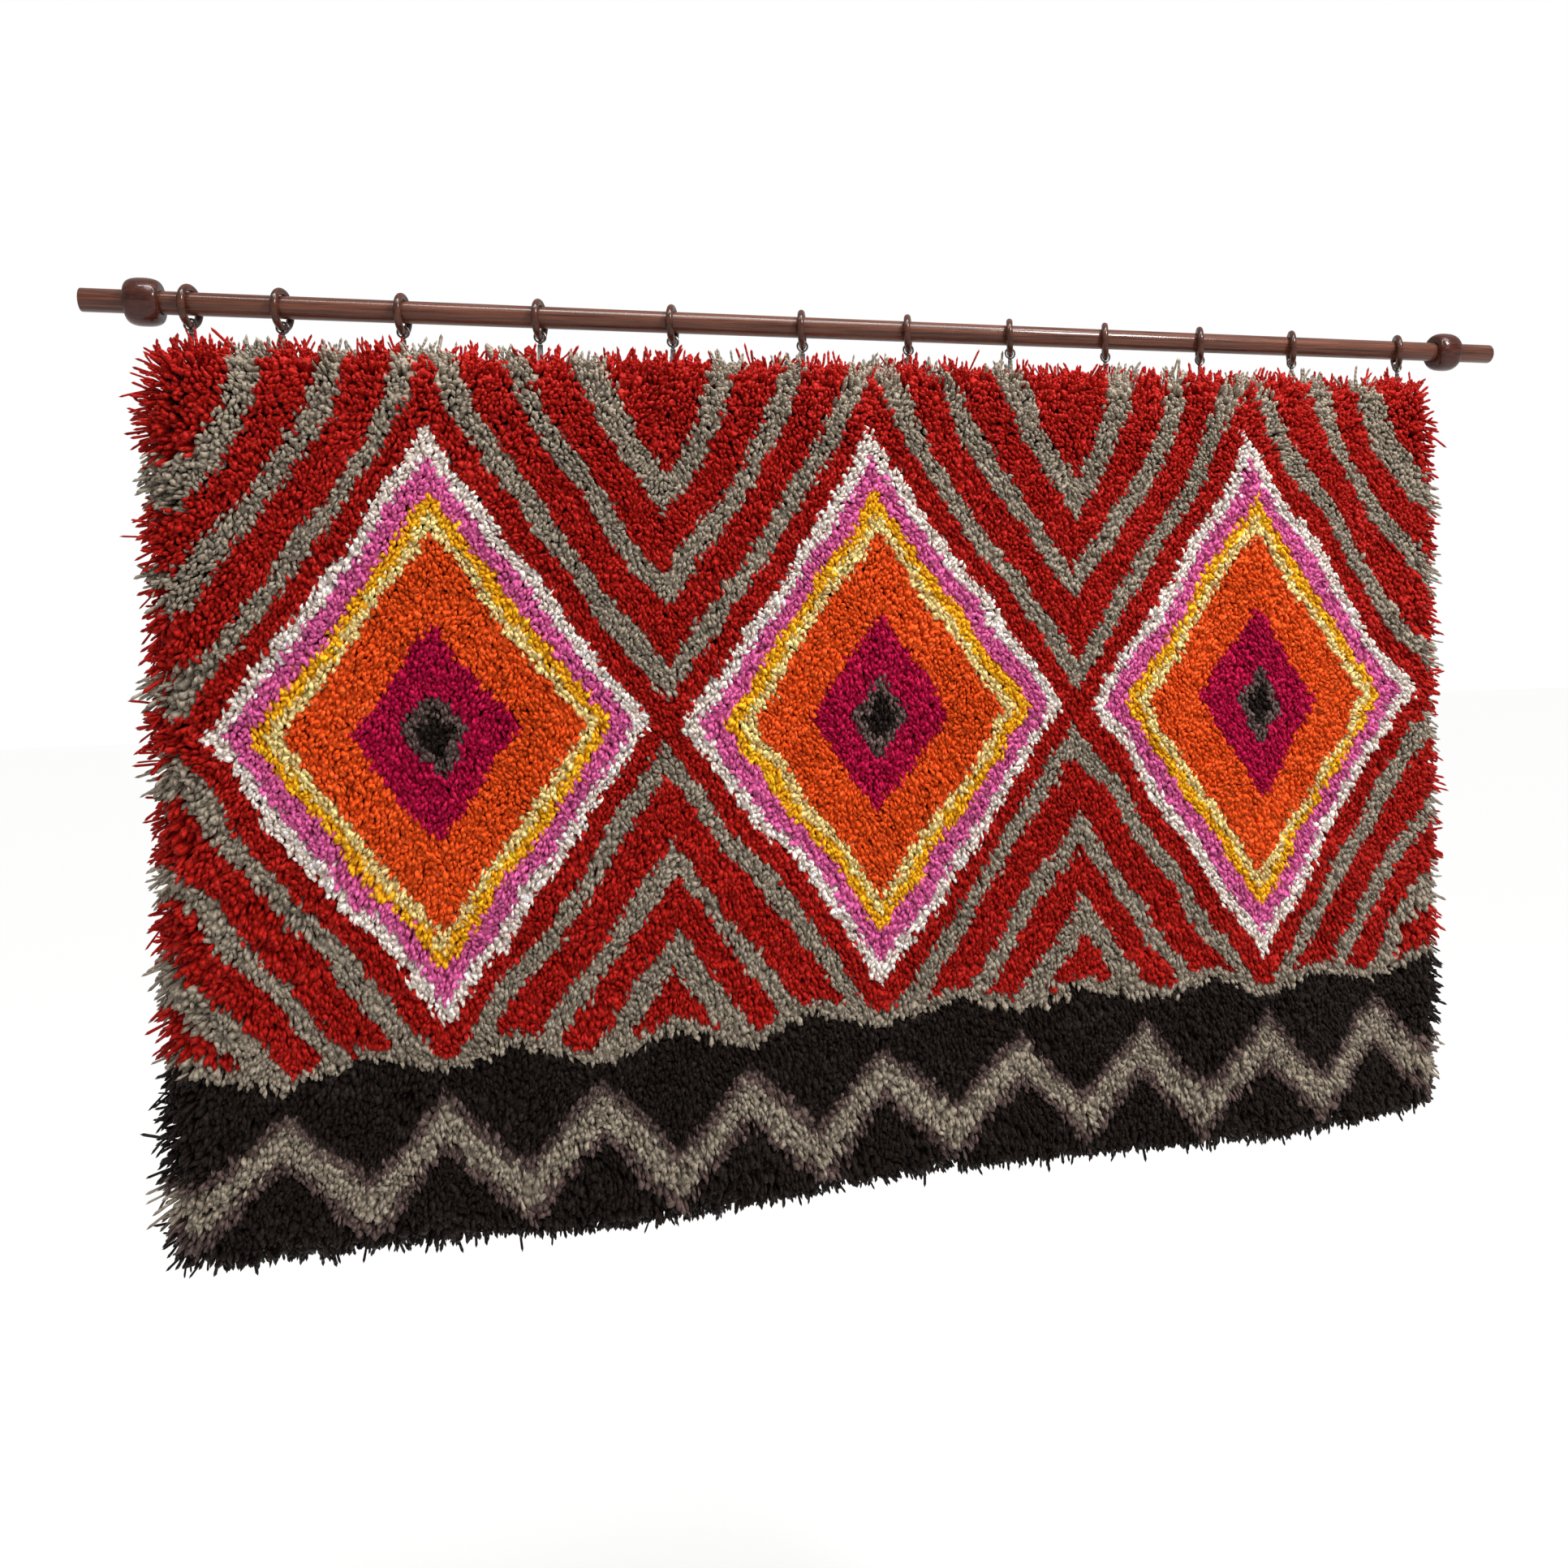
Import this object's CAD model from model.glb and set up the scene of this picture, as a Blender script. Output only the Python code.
import math

import bmesh
import bpy
import numpy as np
from mathutils import Matrix, Vector


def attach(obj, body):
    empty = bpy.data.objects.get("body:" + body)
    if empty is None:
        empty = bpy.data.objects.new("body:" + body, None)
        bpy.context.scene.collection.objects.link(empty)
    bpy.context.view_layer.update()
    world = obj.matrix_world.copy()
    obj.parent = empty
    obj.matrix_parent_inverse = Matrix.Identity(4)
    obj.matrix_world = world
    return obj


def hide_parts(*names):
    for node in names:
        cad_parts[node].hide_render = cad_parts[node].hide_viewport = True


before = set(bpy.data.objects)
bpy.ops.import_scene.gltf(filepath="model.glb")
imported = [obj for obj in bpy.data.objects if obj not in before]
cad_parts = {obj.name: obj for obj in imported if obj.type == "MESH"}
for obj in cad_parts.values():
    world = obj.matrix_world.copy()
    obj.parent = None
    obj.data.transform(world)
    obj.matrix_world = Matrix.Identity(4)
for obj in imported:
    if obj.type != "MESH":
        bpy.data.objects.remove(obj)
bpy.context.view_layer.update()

workScene = bpy.context.scene


# Small helpers for node trees and meshes.
def addNode(tree, kind, inputs=None, **settings):
    # A node given as an input stands for its first output.
    node = tree.nodes.new(kind)
    for key, value in settings.items():
        setattr(node, key, value)
    for key, value in (inputs or {}).items():
        if isinstance(value, bpy.types.Node):
            value = value.outputs[0]
        if isinstance(value, bpy.types.NodeSocket):
            tree.links.new(value, node.inputs[key])
        else:
            node.inputs[key].default_value = value
    return node


def mathNode(tree, operation, *values):
    return addNode(tree, "ShaderNodeMath", dict(enumerate(values)), operation=operation).outputs[0]


def mixNode(tree, first, second, share=1.0, blend="MIX"):
    inputs = {0: share, 6: first, 7: second}
    return addNode(tree, "ShaderNodeMix", inputs, data_type="RGBA", blend_type=blend).outputs[2]


def objectPlace(tree):
    return addNode(tree, "ShaderNodeTexCoord").outputs["Object"]


def meshValue(tree, name):
    return addNode(tree, "ShaderNodeAttribute", attribute_name=name).outputs["Fac"]


def readAttribute(tree, name, dataType="FLOAT"):
    return addNode(tree, "GeometryNodeInputNamedAttribute", {"Name": name}, data_type=dataType).outputs[0]


def storeAttribute(tree, geometry, name, value, dataType="FLOAT", domain="POINT"):
    node = addNode(tree, "GeometryNodeStoreNamedAttribute", {"Geometry": geometry, "Name": name},
                   data_type=dataType, domain=domain)
    tree.links.new(value, node.inputs["Value"])
    return node.outputs[0]


def startTree(name, inputs):
    tree = bpy.data.node_groups.new(name, "GeometryNodeTree")
    tree.is_modifier = True
    for label, kind, value in (("Geometry", "Geometry", None), *inputs):
        socket = tree.interface.new_socket(label, in_out="INPUT", socket_type="NodeSocket" + kind)
        if value is not None:
            socket.default_value = value
    tree.interface.new_socket("Geometry", in_out="OUTPUT", socket_type="NodeSocketGeometry")
    return tree, tree.nodes.new("NodeGroupInput").outputs


def scattered(tree, points, instance, rotation, **more):
    placed = addNode(tree, "GeometryNodeInstanceOnPoints", {
        "Points": points, "Instance": instance, "Rotation": rotation, **more})
    return addNode(tree, "GeometryNodeRealizeInstances", {"Geometry": placed}).outputs[0]


def endTree(tree, geometry, material):
    smooth = addNode(tree, "GeometryNodeSetShadeSmooth", {"Geometry": geometry})
    painted = addNode(tree, "GeometryNodeSetMaterial", {"Geometry": smooth, "Material": material})
    tree.links.new(painted.outputs[0], tree.nodes.new("NodeGroupOutput").inputs[0])


def addObject(name, data):
    obj = bpy.data.objects.new(name, data)
    workScene.collection.objects.link(obj)
    return obj


def grownFrom(name, points, tree, values, keep=()):
    # Runs the tree on the points and keeps the result as a plain mesh.
    seedMesh = bpy.data.meshes.new(name + " points")
    seedMesh.vertices.add(len(points["place"]))
    seedMesh.vertices.foreach_set("co", np.asarray(points["place"], np.float32).ravel())
    for key, column in points.items():
        column = np.asarray(column, np.float32)
        if key != "place":
            kind, field = ("FLOAT_VECTOR", "vector") if column.ndim == 2 else ("FLOAT", "value")
            seedMesh.attributes.new(key, kind, "POINT").data.foreach_set(field, column.ravel())
    source = addObject(name + " source", seedMesh)
    grower = source.modifiers.new("grow", "NODES")
    grower.node_group = tree
    for item in tree.interface.items_tree:
        if item.in_out == "INPUT" and item.name in values:
            grower[item.identifier] = values[item.name]
    graph = bpy.context.evaluated_depsgraph_get()
    mesh = bpy.data.meshes.new_from_object(source.evaluated_get(graph))
    source.modifiers.remove(grower)
    bpy.data.objects.remove(source, do_unlink=True)
    bpy.data.meshes.remove(seedMesh)
    for attribute in [a.name for a in mesh.attributes if a.name in points and a.name not in keep]:
        mesh.attributes.remove(mesh.attributes[attribute])
    return addObject(name, mesh)


def startMaterial(name, finish):
    material = bpy.data.materials.new(name)
    material.use_nodes = True
    for key, value in finish.items():
        material.node_tree.nodes["Principled BSDF"].inputs[key].default_value = value
    return material, material.node_tree


def rampNode(tree, factor, stops):
    node = addNode(tree, "ShaderNodeValToRGB", {"Fac": factor})
    elements = node.color_ramp.elements
    while len(elements) < len(stops):
        elements.new(0.5)
    for element, (place, colour) in zip(elements, stops):
        element.position = place
        element.color = (*colour, 1.0) if hasattr(colour, "__len__") else (colour, colour, colour, 1.0)
    return node.outputs[0]


def curveNode(tree, value, points):
    # A value read off straight lines between these points.
    node = addNode(tree, "ShaderNodeFloatCurve", {"Value": value})
    curve = node.mapping.curves[0]
    curve.points[0].location, curve.points[1].location = points[0], points[-1]
    for place in points[1:-1]:
        curve.points.new(*place)
    for point in curve.points:
        point.handle_type = "VECTOR"
    node.mapping.update()
    return node.outputs[0]


def scaled(colour, share):
    return tuple(channel * share for channel in colour)


def endMaterial(material, colour, height, distance, strength=1.0, roughness=None):
    tree = material.node_tree
    bump = addNode(tree, "ShaderNodeBump", {"Height": height, "Distance": distance, "Strength": strength})
    for key, socket in (("Base Color", colour), ("Normal", bump.outputs[0]), ("Roughness", roughness)):
        if socket is not None:
            tree.links.new(socket, tree.nodes["Principled BSDF"].inputs[key])
    return material


def noiseNode(tree, vector, scale, detail, roughness=0.5):
    inputs = {"Vector": vector, "Scale": scale, "Detail": detail, "Roughness": roughness}
    return addNode(tree, "ShaderNodeTexNoise", inputs).outputs[0]


def stretched(tree, vector, scale):
    return addNode(tree, "ShaderNodeMapping", {"Vector": vector, "Scale": scale}).outputs[0]


# The camera stands left of the middle, a little under the rod, and looks to the right.
cameraFacts = {
    "place": (-0.347, -1.344, -0.3302), "yaw": 14.55, "pitch": -0.88, "roll": -1.33,
    "focal": 1560.0, "middle": (1100.0, 804.0), "picture": 1932.0, "sensor": 36.0,
}


def makeCamera(facts):
    yaw, pitch, roll = (math.radians(facts[key]) for key in ("yaw", "pitch", "roll"))
    right = Vector((math.cos(yaw), -math.sin(yaw), 0.0))
    ahead = Vector((math.sin(yaw), math.cos(yaw), 0.0))
    over = Vector((0.0, 0.0, 1.0))
    sight = ahead * math.cos(pitch) + over * math.sin(pitch)
    crown = over * math.cos(pitch) - ahead * math.sin(pitch)
    across = right * math.cos(roll) + crown * math.sin(roll)
    upward = crown * math.cos(roll) - right * math.sin(roll)
    data, picture = bpy.data.cameras.new("camera"), facts["picture"]
    data.sensor_width = facts["sensor"]
    data.lens = facts["sensor"] * facts["focal"] / picture
    data.shift_x = (picture / 2.0 - facts["middle"][0]) / picture
    data.shift_y = (facts["middle"][1] - picture / 2.0) / picture
    data.clip_start, data.clip_end = 0.05, 100.0
    camera = addObject("camera", data)
    turn = Matrix((across, upward, -sight)).transposed().to_4x4()
    camera.matrix_world = Matrix.Translation(facts["place"]) @ turn
    workScene.camera = camera


makeCamera(cameraFacts)
print("camera placed")


# How the rug hangs: a point at u across and w down from its top edge, and some way in front.
# It sags between the clips, and its waves and its sway grow towards the bottom.
rug = {
    "x": -0.021, "topZ": -0.0552, "width": 1.378, "height": 0.855, "frontY": -0.001,
    "sag": 0.003, "sagEnd": 0.030, "swayHeight": 0.004, "swayLength": 0.82, "swayPhase": 0.6,
    "waves": ((0.610, 0.0065, 0.9), (0.345, 0.0035, 2.6)), "waveGrowth": 1.4,
}
ringRows = (  # where each ring hangs along the rod, and how far it is turned, in degrees
    (-0.6845, -12.9), (-0.6036, -14.7), (-0.4934, -11.8), (-0.3623, -15.3), (-0.2282, -15.5), (-0.0906, -14.8),
    (0.0274, -18.6), (0.1457, -20.1), (0.2611, -22.6), (0.3803, -22.7), (0.5009, -23.2), (0.6457, -23.1),
)
ringPlaces = np.array([row[0] for row in ringRows])


def rugPoint(u, w, forward=0.0):
    u, w = np.broadcast_arrays(np.asarray(u, float), np.asarray(w, float))
    share = np.clip(w / rug["height"], 0.0, 1.0)
    grown = share ** rug["waveGrowth"]
    wave = sum(size * grown * np.sin(2.0 * np.pi * u / length + phase) for length, size, phase in rug["waves"])
    holds = ringPlaces - rug["x"]
    gap = np.clip(np.searchsorted(holds, u), 1, len(holds) - 1)
    before, after = holds[gap - 1], holds[gap]
    inside = (u > holds[0]) & (u < holds[-1])
    nearest = np.minimum(np.abs(u - holds[0]), np.abs(u - holds[-1]))
    dip = rug["sag"] * np.where(inside, np.sin(np.pi * np.clip((u - before) / (after - before), 0.0, 1.0)),
                                np.minimum(nearest / rug["sagEnd"], 1.0))
    sway = rug["swayHeight"] * np.sin(2.0 * np.pi * u / rug["swayLength"] + rug["swayPhase"]) * share ** 2
    z = rug["topZ"] - w - dip * (1.0 - share) ** 2 + sway
    return np.stack([rug["x"] + u, rug["frontY"] + wave - forward, z], axis=-1)


def softNoise(u, w, size, seed):
    # Smooth random values from -1 to 1, on a lattice of this size.
    cells, shift = 64, 20.0
    lattice = np.random.default_rng(seed).uniform(-1.0, 1.0, (cells, cells))
    x, y = u / size + shift, w / size + shift
    column, row = np.floor(x).astype(int), np.floor(y).astype(int)
    fx, fy = x - column, y - row
    fx, fy = fx * fx * (3.0 - 2.0 * fx), fy * fy * (3.0 - 2.0 * fy)
    at = lambda right, down: lattice[(column + right) % cells, (row + down) % cells]
    return (at(0, 0) * (1 - fx) + at(1, 0) * fx) * (1 - fy) + (at(0, 1) * (1 - fx) + at(1, 1) * fx) * fy


# The pattern: three stepped lozenges on red, echo lines between them, and a dark zigzag border.
pattern = {
    "lozengeWidth": 0.450, "lozengeHeight": 0.630, "middle": 0.345,
    "rings": (  # from, to and wool, where 0 is a lozenge's middle and 1 is near its rim
        (0.00, 0.08, "dark"), (0.08, 0.14, "taupe"), (0.14, 0.34, "magenta"), (0.34, 0.62, "orange"),
        (0.62, 0.68, "straw"), (0.68, 0.745, "yellow"), (0.745, 0.85, "pink"), (0.85, 0.93, "white"),
        (1.06, 1.17, "greige"), (1.37, 1.48, "greige"), (1.66, 1.80, "greige"),
    ),
    "borderTop": 0.672, "borderTooth": 0.012, "borderLine": 0.014,
    "zigzagMiddle": 0.768, "zigzagHeight": 0.036, "zigzagLength": 0.150, "zigzagEdge": 0.031, "zigzagCore": 0.016,
    "wobble": 0.006, "wobbleSizes": (0.055, 0.050), "fray": 0.0015, "fraySize": 0.004,
}
wools = ("red", "orange", "magenta", "pink", "white", "yellow", "straw", "greige", "taupe", "dark")


def patternWool(u, w):
    # The lines wobble as a hand ties them, and fray from knot to knot.
    wobble, fray, grain = pattern["wobble"], pattern["fray"], pattern["fraySize"]
    u = u + wobble * softNoise(u, w, pattern["wobbleSizes"][0], 3) + fray * softNoise(u, w, grain, 4)
    w = w + wobble * softNoise(u, w, pattern["wobbleSizes"][1], 5) + fray * softNoise(u, w, grain, 6)
    wool = np.zeros(u.shape, int)
    cell = (u + 1.5 * pattern["lozengeWidth"]) / pattern["lozengeWidth"]
    across = np.abs(cell - np.floor(cell) - 0.5) * 2.0
    reach = across + np.abs(w - pattern["middle"]) * 2.0 / pattern["lozengeHeight"]
    for low, high, name in pattern["rings"]:
        wool[(reach >= low) & (reach < high)] = wools.index(name)
    teeth = np.abs((u / pattern["zigzagLength"]) % 1.0 - 0.5) * 4.0 - 1.0
    border = w - pattern["borderTop"] - pattern["borderTooth"] * teeth
    wool[(border > -pattern["borderLine"]) & (border <= 0.0)] = wools.index("greige")
    wool[border > 0.0] = wools.index("dark")
    zigzag = np.abs(w - pattern["zigzagMiddle"] + pattern["zigzagHeight"] * teeth)
    wool[(border > 0.0) & (zigzag < pattern["zigzagEdge"])] = wools.index("taupe")
    wool[(border > 0.0) & (zigzag < pattern["zigzagCore"])] = wools.index("greige")
    return wool


# The yarn: every knot leaves two ends, and the ends at the rim splay outwards. Leans are in degrees.
yarn = {
    "seed": 7, "knotPitch": 0.0058, "rowShift": 0.00145, "rootScatter": 0.00070,
    "sideMargin": 0.0065, "topMargin": 0.0060, "bottomMargin": 0.0065, "footMargin": 0.004,
    "nearRim": 0.028, "nearTop": 0.046, "atRim": 0.014,  # knots this near the rim have a third and a fourth end
    "length": 0.0305, "rimLength": 0.0280, "lengthSpread": 0.0010, "rimLengthSpread": 2.2,
    "lengthWave": 0.0012, "lengthWaveSize": 0.035,
    "width": 0.0042, "widthSpread": 0.12, "rimThinning": 0.28, "tipSpread": 0.80, "spin": 1.1, "spinSize": 0.030,
    "underLength": 0.0260, "underWidth": 0.0120, "underThinning": 0.38, "underReach": 0.130, "underTone": 0.22,
    "droop": 22.0, "lowerDroop": 17.0, "droopReach": 0.05, "topDroop": 0.75, "lowDroop": 0.9,
    "clump": 20.0, "clumpSize": 0.060, "tuft": 15.0, "tuftSize": 0.019, "evenness": 0.80,
    "calm": 0.45, "calmStart": 0.03, "calmReach": 0.20, "stray": 12.0, "rimStray": 16.0, "mostLean": 88.0,
    "rimEdge": 0.0065, "rimReach": 0.017, "lean": 20.0, "leanReach": 0.060, "splay": 40.0, "splayReach": 0.022,
    "topLean": 44.0, "topReach": 0.085,
    "sag": 0.05, "rimSag": 0.14, "lowSagReach": 0.04, "topSagReach": 0.03,
    "kink": 0.06, "rimKink": 0.20, "kinkTurn": 4.6, "sides": 4,
    "profile": ((0.0, 0.0), (0.30, 0.84), (0.65, 0.93), (0.97, 1.0), (1.0, 0.0)),  # the width along an end
    "inner": {"rings": 3, "crowding": 3.2, "most": 19000}, "outer": {"rings": 5, "crowding": 2.0, "most": 6000},
    "knotTone": 0.13, "endTone": 0.10, "patchTone": 0.10, "patchSize": 0.045,
}


def knotGrid():
    reach = rug["width"] / 2 - yarn["sideMargin"]
    across = np.arange(-reach, reach, yarn["knotPitch"])
    down = np.arange(yarn["topMargin"], rug["height"] - yarn["bottomMargin"], yarn["knotPitch"])
    return across, down


def ease(gap, reach, power=1.5):
    # 1 at the rug's edge, and 0 from this reach inwards.
    return np.clip(1.0 - np.maximum(gap - yarn["rimEdge"], 0.0) / reach, 0.0, 1.0) ** power


def outward(gap):
    # How many degrees the ends lean out over the edge.
    return yarn["lean"] * ease(gap, yarn["leanReach"]) + yarn["splay"] * ease(gap, yarn["splayReach"], 1.1)


def wander(u, w, seed):
    # How many degrees the ends lean together, in large clumps and small tufts.
    clumps, tufts = softNoise(u, w, yarn["clumpSize"], seed), softNoise(u, w, yarn["tuftSize"], seed + 1)
    return yarn["clump"] * clumps + yarn["tuft"] * tufts


def endsOf(knots, dice, shiftU, shiftW, kept, low):
    # One end for each of these knots, at one side of it. The low ends are short and bushy.
    count = int(kept.sum())
    clipped = lambda lowest, highest, size, spread=1.0: np.clip(dice.normal(0.0, spread, size), lowest, highest)
    rootU = knots["u"][kept] + shiftU * yarn["rowShift"] + dice.normal(0.0, yarn["rootScatter"], count)
    rootW = knots["w"][kept] + shiftW * yarn["rowShift"] + dice.normal(0.0, yarn["rootScatter"], count)
    half, height = rug["width"] / 2, rug["height"]
    sideGap, topGap, lowGap = half - np.abs(rootU), rootW, height - rootW
    nearest = np.minimum(sideGap, np.minimum(topGap, lowGap))
    rim = ease(nearest, yarn["rimReach"], 1.0)
    towardsRim = lambda inner, outer: yarn[inner] + (yarn[outer] - yarn[inner]) * rim
    # The tufts part more towards the edges than in the middle of the rug.
    calm = 1.0 - yarn["calm"] * np.clip((nearest - yarn["calmStart"]) / yarn["calmReach"], 0.0, 1.0)
    wanderU, wanderW = calm * wander(rootU, rootW, 11), calm * wander(rootU, rootW, 13)
    sideways = outward(sideGap) * np.sign(rootU) + wanderU
    lowered = (yarn["droop"] + yarn["lowerDroop"] * (rootW / height)) * (1.0 - ease(topGap, yarn["droopReach"]))
    lowered -= outward(topGap) * yarn["topDroop"]
    lowered -= yarn["topLean"] * ease(topGap, yarn["topReach"], 1.2)
    lowered += outward(lowGap) * yarn["lowDroop"]
    lowered += wanderW
    stray = clipped(-1.9, 1.9, (2, count)) * towardsRim("stray", "rimStray")
    leans, most = (sideways + stray[0], lowered + stray[1]), yarn["mostLean"]
    sideways, lowered = (np.radians(np.clip(lean, -most, most)) for lean in leans)
    turn = np.hypot(sideways, lowered)
    bounded = np.minimum(turn, 1.5)
    swing = np.where(turn > 1e-6, np.sin(bounded) / np.maximum(turn, 1e-6), 1.0)
    direction = np.stack([sideways * swing, -np.cos(bounded), -lowered * swing], axis=-1)
    # Inside the rim a leaning end is longer, so that the pile stays level.
    length = towardsRim("length", "rimLength")
    length = length * (1.0 + (1.0 - rim) * (1.0 / np.maximum(np.cos(bounded), 0.75) - 1.0))
    length += clipped(-1.8, 1.6, count) * yarn["lengthSpread"] * (1.0 + yarn["rimLengthSpread"] * rim)
    length += yarn["lengthWave"] * softNoise(rootU, rootW, yarn["lengthWaveSize"], 15)
    if low:
        length = length * yarn["underLength"] / yarn["length"]
    sag = towardsRim("sag", "rimSag") * length * (1.0 - ease(lowGap, yarn["lowSagReach"]))
    sag = sag * (1.0 - 0.7 * ease(topGap, yarn["topSagReach"]))
    kink = towardsRim("kink", "rimKink") * length
    bend = clipped(-1.6, 1.6, (count, 3)) * kink[:, None] * (1.0, 0.4, 1.0)
    # A leaning end starts to one side, so that the tips still lie evenly.
    inner, evenness = np.clip(1.0 - rim * 1.5, 0.0, 1.0), yarn["evenness"]
    footU = rootU - inner * (length * np.sin(np.radians(stray[0] + evenness * wanderU)) + bend[:, 0])
    footW = rootW - inner * (length * np.sin(np.radians(stray[1] + evenness * wanderW)) - bend[:, 2])
    footU = np.clip(footU, yarn["footMargin"] - half, half - yarn["footMargin"])
    footW = np.clip(footW, yarn["footMargin"], height - yarn["footMargin"])
    bend[:, 2] -= sag
    curl = clipped(-0.8, 0.8, (count, 3), 0.5) * kink[:, None] * rim[:, None]
    tone = 0.5 + knots["tone"][kept] + dice.normal(0.0, yarn["endTone"], count)
    tone += yarn["patchTone"] * softNoise(rootU, rootW, yarn["patchSize"], 16)
    if low:
        tone += yarn["underTone"]
    thick = (yarn["underWidth"] if low else yarn["width"]) / 2
    thick = thick * (1.0 + dice.normal(0.0, yarn["widthSpread"], count)) * (1.0 - yarn["rimThinning"] * rim)
    if low:
        thick = thick * (1.0 - yarn["underThinning"] * ease(sideGap, yarn["underReach"]))
    # The cut tip is spread to an oval, which lies upright or slanting by patches.
    spread = (0.0 if low else yarn["tipSpread"]) * (1.0 - np.minimum(1.0, 1.6 * rim))
    breadth = thick * (1.0 + spread * dice.uniform(0.5, 1.5, count))
    spin = yarn["spin"] * softNoise(rootU, rootW, yarn["spinSize"], 17) + dice.normal(0.0, 0.50, count)
    return {
        "place": rugPoint(footU, footW), "direction": direction, "bend": bend, "length": length, "width": thick,
        "spin": spin, "tone": np.clip(tone, 0.0, 1.0), "curl": curl, "breadth": breadth,
        "wool": knots["wool"][kept], "rim": (rim > 0.35) & (not low),
    }


def yarnEnds():
    dice = np.random.default_rng(yarn["seed"])
    across, down = knotGrid()
    u, w = (axis.ravel() for axis in np.meshgrid(across, down))
    knots = {"u": u, "w": w, "wool": patternWool(u, w), "tone": dice.normal(0.0, yarn["knotTone"], len(u))}
    edgeGap = np.minimum(rug["width"] / 2 - np.abs(u), np.minimum(w, rug["height"] - w))
    everyKnot = np.ones(len(u), bool)
    nearRim, atRim = (edgeGap < yarn["nearRim"]) | (w < yarn["nearTop"]), edgeGap < yarn["atRim"]
    otherKnot = (np.arange(len(u)) // len(across) + np.arange(len(u)) % len(across)) % 2 == 0
    # Two ends a knot, more where the ends spread apart at the rim, and a short bushy one low between them.
    families = [endsOf(knots, dice, *family) for family in (
        (-1.0, -1.0, everyKnot, False), (1.0, 1.0, everyKnot, False), (1.0, -1.0, nearRim, False),
        (-1.0, 1.0, atRim, False), (1.0, 1.0, otherKnot, True),
    )]
    return {key: np.concatenate([family[key] for family in families]) for key in families[0]}


def yarnTree():
    # One end of yarn is a few rings on a line, pointed at the root and rounded at the tip.
    tree, given = startTree("yarn ends", (
        ("Ply Sides", "Int", yarn["sides"]), ("Rings", "Int", yarn["inner"]["rings"]),
        ("Tip Crowding", "Float", yarn["inner"]["crowding"]), ("Sag", "Float", 1.0), ("Wool", "Material", None),
    ))
    line = addNode(tree, "GeometryNodeCurvePrimitiveLine", {"Start": (0.0, 0.0, 0.0), "End": (0.0, 0.0, 1.0)})
    rings = addNode(tree, "GeometryNodeResampleCurve", {"Curve": line, "Count": given["Rings"]})
    share = addNode(tree, "GeometryNodeSplineParameter").outputs["Factor"]
    left = mathNode(tree, "POWER", mathNode(tree, "SUBTRACT", 1.0, share), given["Tip Crowding"])
    place = addNode(tree, "ShaderNodeCombineXYZ", {"Z": mathNode(tree, "SUBTRACT", 1.0, left)})
    spine = addNode(tree, "GeometryNodeSetPosition", {"Geometry": rings, "Position": place})
    # Once the rings have moved, the share goes by length, and the width follows it.
    width = curveNode(tree, share, yarn["profile"])
    ring = addNode(tree, "GeometryNodeCurvePrimitiveCircle", {"Resolution": given["Ply Sides"], "Radius": 1.0})
    tube = addNode(tree, "GeometryNodeCurveToMesh", {"Curve": spine, "Profile Curve": ring, "Scale": width})
    closed = addNode(tree, "GeometryNodeMergeByDistance", {"Geometry": tube, "Distance": 0.001})
    local = addNode(tree, "ShaderNodeSeparateXYZ", {0: addNode(tree, "GeometryNodeInputPosition")})
    marked = storeAttribute(tree, closed, "along", local.outputs["Z"])
    marked = storeAttribute(tree, marked, "side", local.outputs["X"])
    spun = addNode(tree, "FunctionNodeAxisAngleToRotation", {
        "Axis": (0.0, 0.0, 1.0), "Angle": readAttribute(tree, "spin")})
    aimed = addNode(tree, "FunctionNodeAlignRotationToVector", {
        "Rotation": spun, "Vector": readAttribute(tree, "direction", "FLOAT_VECTOR")}, axis="Z")
    size = addNode(tree, "ShaderNodeCombineXYZ", {
        "X": readAttribute(tree, "width"), "Y": readAttribute(tree, "breadth"), "Z": readAttribute(tree, "length")})
    real = scattered(tree, given["Geometry"], marked, aimed, Scale=size)
    # Each end bends most at its tip, and curls to and fro on the way.
    along = readAttribute(tree, "along")
    pull = mathNode(tree, "MULTIPLY", mathNode(tree, "POWER", along, 2.0), given["Sag"])
    swing = mathNode(tree, "SINE", mathNode(tree, "MULTIPLY", along, yarn["kinkTurn"]))
    bent, curled = (addNode(tree, "ShaderNodeVectorMath", {
        0: readAttribute(tree, name, "FLOAT_VECTOR"), "Scale": amount}, operation="SCALE")
        for name, amount in (("bend", pull), ("curl", swing)))
    moved = addNode(tree, "ShaderNodeVectorMath", {0: bent, 1: curled}, operation="ADD")
    hung = addNode(tree, "GeometryNodeSetPosition", {"Geometry": real, "Offset": moved})
    # The map goes by tone across and by length upwards, which is all that the wool's colour follows.
    toneAcross = mathNode(tree, "MULTIPLY_ADD", readAttribute(tree, "tone"), 0.90, 0.05)
    mapX = mathNode(tree, "MULTIPLY_ADD", readAttribute(tree, "side"), 0.012, toneAcross)
    mapY = mathNode(tree, "MULTIPLY_ADD", along, 0.94, 0.03)
    flat = addNode(tree, "ShaderNodeCombineXYZ", {"X": mapX, "Y": mapY}).outputs[0]
    endTree(tree, storeAttribute(tree, hung, "OFBake", flat, "FLOAT2", "CORNER"), given["Wool"])
    return tree


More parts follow.
